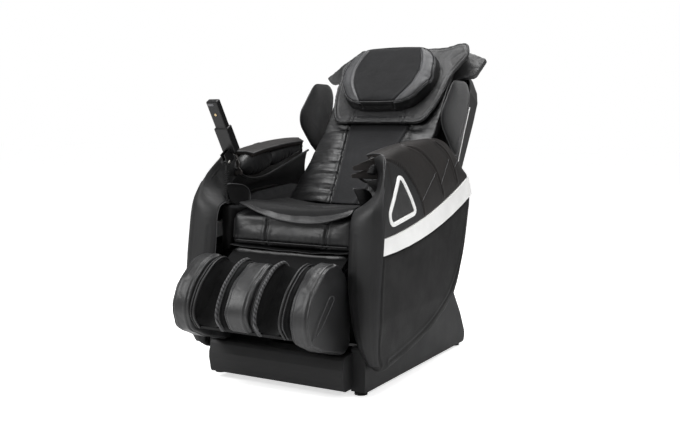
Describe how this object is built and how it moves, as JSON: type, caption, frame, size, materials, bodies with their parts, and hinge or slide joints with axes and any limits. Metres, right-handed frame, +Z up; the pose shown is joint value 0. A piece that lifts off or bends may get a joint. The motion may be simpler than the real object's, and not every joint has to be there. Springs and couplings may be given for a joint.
{
  "type": "massage chair",
  "caption": "Black upholstered massage chair: tilting seat with shell arms on a floor base, reclining back with roller carriage, lifting calf rest and a remote on a stand.",
  "frame": {"origin": "on the floor, under the middle of the chair's width and length", "axes": "+X towards the sitter's left hand, -Y the way the sitter faces, +Z up; the body upright, the calf rest lowered"},
  "size_m": [0.77, 1.32, 1.2059],
  "materials": {
    "black_leather": "soft satin, fine grain",
    "arm_leather": "brown-black satin",
    "black_fabric": "matte woven",
    "black_plastic": "fine textured",
    "white_gloss": "gloss",
    "painted_steel": "satin paint",
    "bright_steel": "ground",
    "rubber": "matte",
    "silver_plastic": "satin metallic"
  },
  "bodies": {
    "base": {"base_frame": "painted_steel", "base_cover_left": "black_plastic", "base_cover_right": "black_plastic", "base_front_cover": "black_plastic", "base_rear_cover": "black_plastic", "foot_front_left": "rubber", "foot_front_right": "rubber", "foot_rear_left": "rubber", "foot_rear_right": "rubber", "power_inlet": "black_plastic", "tilt_motor": "painted_steel"},
    "wheel_left": {"transport_wheel_left": "rubber"},
    "wheel_right": {"transport_wheel_right": "rubber"},
    "switch": {"power_switch": "black_plastic"},
    "tilt_ram": {"tilt_rod": "bright_steel"},
    "seat": {"seat_frame": "painted_steel", "seat_cushion": "black_leather", "seat_apron": "black_leather", "arm_panel_left": "black_leather", "arm_panel_right": "black_leather", "arm_band_left": "white_gloss", "arm_band_right": "white_gloss", "arm_cover_left": "arm_leather", "arm_cover_right": "arm_leather", "arm_ring_left": "white_gloss", "arm_ring_right": "white_gloss", "arm_hand_pad_left": "black_leather", "arm_hand_pad_right": "black_leather", "arm_inner_pad_left": "black_fabric", "arm_inner_pad_right": "black_fabric", "recline_motor": "painted_steel", "leg_motor": "painted_steel"},
    "recline_ram": {"recline_rod": "bright_steel"},
    "leg_ram": {"leg_rod": "bright_steel"},
    "back": {"back_frame": "painted_steel", "back_shell": "black_plastic", "back_cushion": "black_leather", "shoulder_wing_left": "black_fabric", "shoulder_wing_right": "black_fabric", "head_cover": "black_leather"},
    "head": {"head_pad": "black_leather", "head_pillow": "black_fabric"},
    "carriage": {"massage_carriage": "painted_steel"},
    "roller_arm_left_body": {"roller_arm_left": "painted_steel"},
    "roller_arm_right_body": {"roller_arm_right": "painted_steel"},
    "roller_left": {"massage_roller_left": "rubber"},
    "roller_right": {"massage_roller_right": "rubber"},
    "leg": {"leg_frame": "painted_steel", "leg_tray": "black_plastic", "calf_pad_left": "black_leather", "calf_pad_right": "black_leather", "calf_pad_centre": "black_leather", "calf_cell_inner_left": "black_fabric", "calf_cell_inner_right": "black_fabric", "calf_cell_outer_left": "black_fabric", "calf_cell_outer_right": "black_fabric"},
    "stand": {"remote_stand": "black_plastic"},
    "holder": {"remote_holder": "black_plastic"},
    "handset": {"remote_handset": "black_plastic"},
    "button": {"remote_button": "silver_plastic"}
  },
  "joints": [
    {"name": "body_tilt", "type": "hinge", "parent": "base", "child": "seat", "pos_m": [0, -0.0299, 0.3], "axis": [-1, 0, 0], "range_deg": [0, 15]},
    {"name": "tilt_ram_slide", "type": "slide", "parent": "base", "child": "tilt_ram", "axis": [0, -1, 0], "range_m": [0, 0.031]},
    {"name": "back_recline", "type": "hinge", "parent": "seat", "child": "back", "pos_m": [0, 0.1701, 0.43], "axis": [-1, 0, 0], "range_deg": [0, 38]},
    {"name": "recline_ram_slide", "type": "slide", "parent": "seat", "child": "recline_ram", "axis": [0, -1, 0], "range_m": [0, 0.07182]},
    {"name": "leg_lift", "type": "hinge", "parent": "seat", "child": "leg", "pos_m": [0, -0.3549, 0.4], "axis": [-1, 0, 0], "range_deg": [0, 70]},
    {"name": "leg_ram_slide", "type": "slide", "parent": "seat", "child": "leg_ram", "axis": [0, -1, 0], "range_m": [0, 0.0805]},
    {"name": "head_pad_flip", "type": "hinge", "parent": "back", "child": "head", "pos_m": [0, 0.60217, 1.20122], "axis": [-1, 0, 0], "range_deg": [0, 120]},
    {"name": "carriage_travel", "type": "slide", "parent": "back", "child": "carriage", "axis": [0, 0.4848, 0.8746], "range_m": [-0.2, 0.2]},
    {"name": "roller_arm_left_swing", "type": "hinge", "parent": "carriage", "child": "roller_arm_left_body", "pos_m": [0.07, 0.31029, 0.69529], "axis": [1, 0, 0], "range_deg": [-12, 5]},
    {"name": "roller_arm_right_swing", "type": "hinge", "parent": "carriage", "child": "roller_arm_right_body", "pos_m": [-0.07, 0.31029, 0.69529], "axis": [1, 0, 0], "range_deg": [-12, 5]},
    {"name": "roller_left_spin", "type": "hinge", "parent": "roller_arm_left_body", "child": "roller_left", "pos_m": [0.09, 0.33509, 0.77302], "axis": [1, 0, 0], "continuous": true},
    {"name": "roller_right_spin", "type": "hinge", "parent": "roller_arm_right_body", "child": "roller_right", "pos_m": [-0.09, 0.33509, 0.77302], "axis": [1, 0, 0], "continuous": true},
    {"name": "wheel_left_spin", "type": "hinge", "parent": "base", "child": "wheel_left", "pos_m": [0.224, 0.4321, 0.033], "axis": [1, 0, 0], "continuous": true},
    {"name": "wheel_right_spin", "type": "hinge", "parent": "base", "child": "wheel_right", "pos_m": [-0.224, 0.4321, 0.033], "axis": [1, 0, 0], "continuous": true},
    {"name": "power_switch_rock", "type": "hinge", "parent": "base", "child": "switch", "pos_m": [0.15, 0.4216, 0.075], "axis": [1, 0, 0], "range_deg": [-8, 8]},
    {"name": "remote_swivel", "type": "hinge", "parent": "seat", "child": "stand", "pos_m": [-0.275, -0.3249, 0.6035], "axis": [0, 0, 1], "range_deg": [-45, 30]},
    {"name": "remote_tilt", "type": "hinge", "parent": "stand", "child": "holder", "pos_m": [-0.275, -0.3249, 0.75], "axis": [1, 0, 0], "range_deg": [-25, 20]},
    {"name": "handset_lift", "type": "slide", "parent": "holder", "child": "handset", "axis": [0, -0.515, 0.8572], "range_m": [0, 0.1]},
    {"name": "remote_button_press", "type": "slide", "parent": "handset", "child": "button", "axis": [0, -0.8572, -0.515], "range_m": [0, 0.0012], "stiffness_N_per_m": 300}
  ],
  "couplings": [
    {"joint": "tilt_ram_slide", "follows": "body_tilt", "m_per_rad": 0.11766},
    {"joint": "recline_ram_slide", "follows": "back_recline", "m_per_rad": 0.10799},
    {"joint": "leg_ram_slide", "follows": "leg_lift", "m_per_rad": 0.065727}
  ]
}
